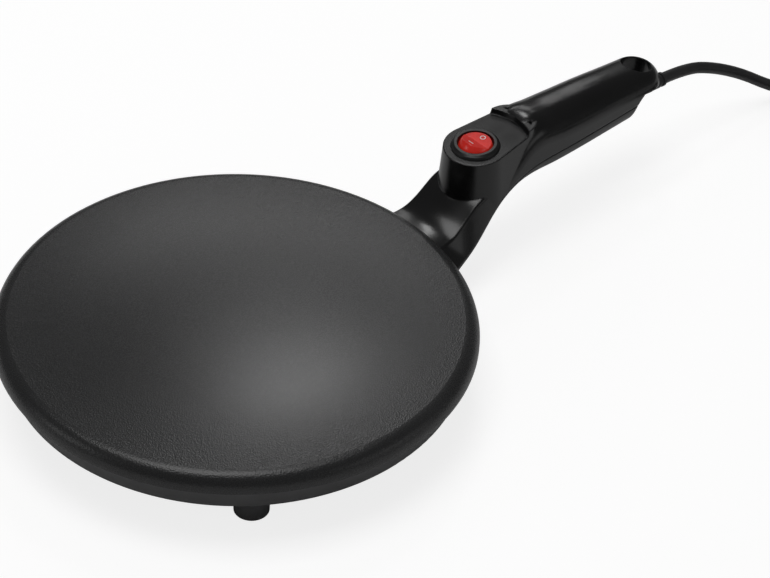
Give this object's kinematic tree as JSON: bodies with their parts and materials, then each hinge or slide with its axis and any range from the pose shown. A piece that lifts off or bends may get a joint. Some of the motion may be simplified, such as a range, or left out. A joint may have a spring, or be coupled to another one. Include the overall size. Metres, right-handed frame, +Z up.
{
  "type": "electric crepe maker",
  "caption": "Hand-held electric crepe maker: round domed non-stick plate on a shallow footed base, long moulded handle with round rocker switch and hanging ring, corded.",
  "frame": {"origin": "on the table, on the cooking plate's axis, at the centre of the four feet", "axes": "+X along the handle away from the plate, +Z up, +Y to the left seen from the plate looking along the handle"},
  "size_m": [0.5118, 0.3298, 0.0644],
  "materials": {
    "nonstick_coating": "dark non-stick coating on cast aluminium",
    "black_plastic": "glossy black heat-resistant plastic",
    "base_plastic": "satin dark grey heat-resistant plastic",
    "foot_rubber": "grey silicone rubber",
    "red_button": "translucent red, polished",
    "switch_black": "black, moulded",
    "steel": "zinc plated",
    "element_steel": "dull sheath",
    "reflector_sheet": "bright rolled sheet",
    "brass": "bright",
    "ceramic": "unglazed",
    "phenolic": "moulded phenolic",
    "sleeve": "woven glass sleeve",
    "lamp_glass": "clear",
    "cord_rubber": "black sheath",
    "plug_rubber": "black, moulded on"
  },
  "bodies": {
    "crepe_maker": {"base_cover": "base_plastic", "clamp_screws": "steel", "cooking_plate": "nonstick_coating", "cord_clamp": "switch_black", "cord_coil": "cord_rubber", "cord_jacket": "cord_rubber", "cord_tail": "cord_rubber", "cover_screw": "steel", "earth_clips": "brass", "earth_screw": "steel", "earth_tag": "brass", "element_bushes": "ceramic", "element_pins": "steel", "foot_front_left": "foot_rubber", "foot_front_right": "foot_rubber", "foot_handle_left": "foot_rubber", "foot_handle_right": "foot_rubber", "foot_screws": "steel", "fuse_clip": "steel", "fuse_screw": "steel", "fuse_sleeve": "sleeve", "handle_lower": "black_plastic", "handle_screws": "steel", "handle_upper": "black_plastic", "heat_reflector": "reflector_sheet", "heating_element": "element_steel", "neck_screws": "steel", "neon_lamp": "lamp_glass", "neon_resistor": "ceramic", "plug_body": "plug_rubber", "plug_pins": "brass", "power_cord": "cord_rubber", "strain_relief": "cord_rubber", "switch_housing": "switch_black", "switch_terminals": "brass", "thermal_fuse": "steel", "thermostat_blades": "steel", "thermostat_body": "phenolic", "thermostat_cap": "steel", "thermostat_screws": "steel"},
    "rocker": {"rocker_button": "red_button", "plunger": "brass", "plunger_spring": "steel"},
    "contact_seesaw": {"contact_lever": "brass"}
  },
  "joints": [
    {"name": "power_rocker", "type": "hinge", "parent": "crepe_maker", "child": "rocker", "pos_m": [0.14111, 0, 0.0572], "axis": [0, -1, 0], "range_deg": [0, 22]},
    {"name": "contact_tilt", "type": "hinge", "parent": "crepe_maker", "child": "contact_seesaw", "pos_m": [0.14171, 0, 0.04702], "axis": [0, -1, 0], "range_deg": [-11, 0]}
  ],
  "couplings": [
    {"joint": "contact_tilt", "follows": "power_rocker", "ratio": -0.5}
  ]
}
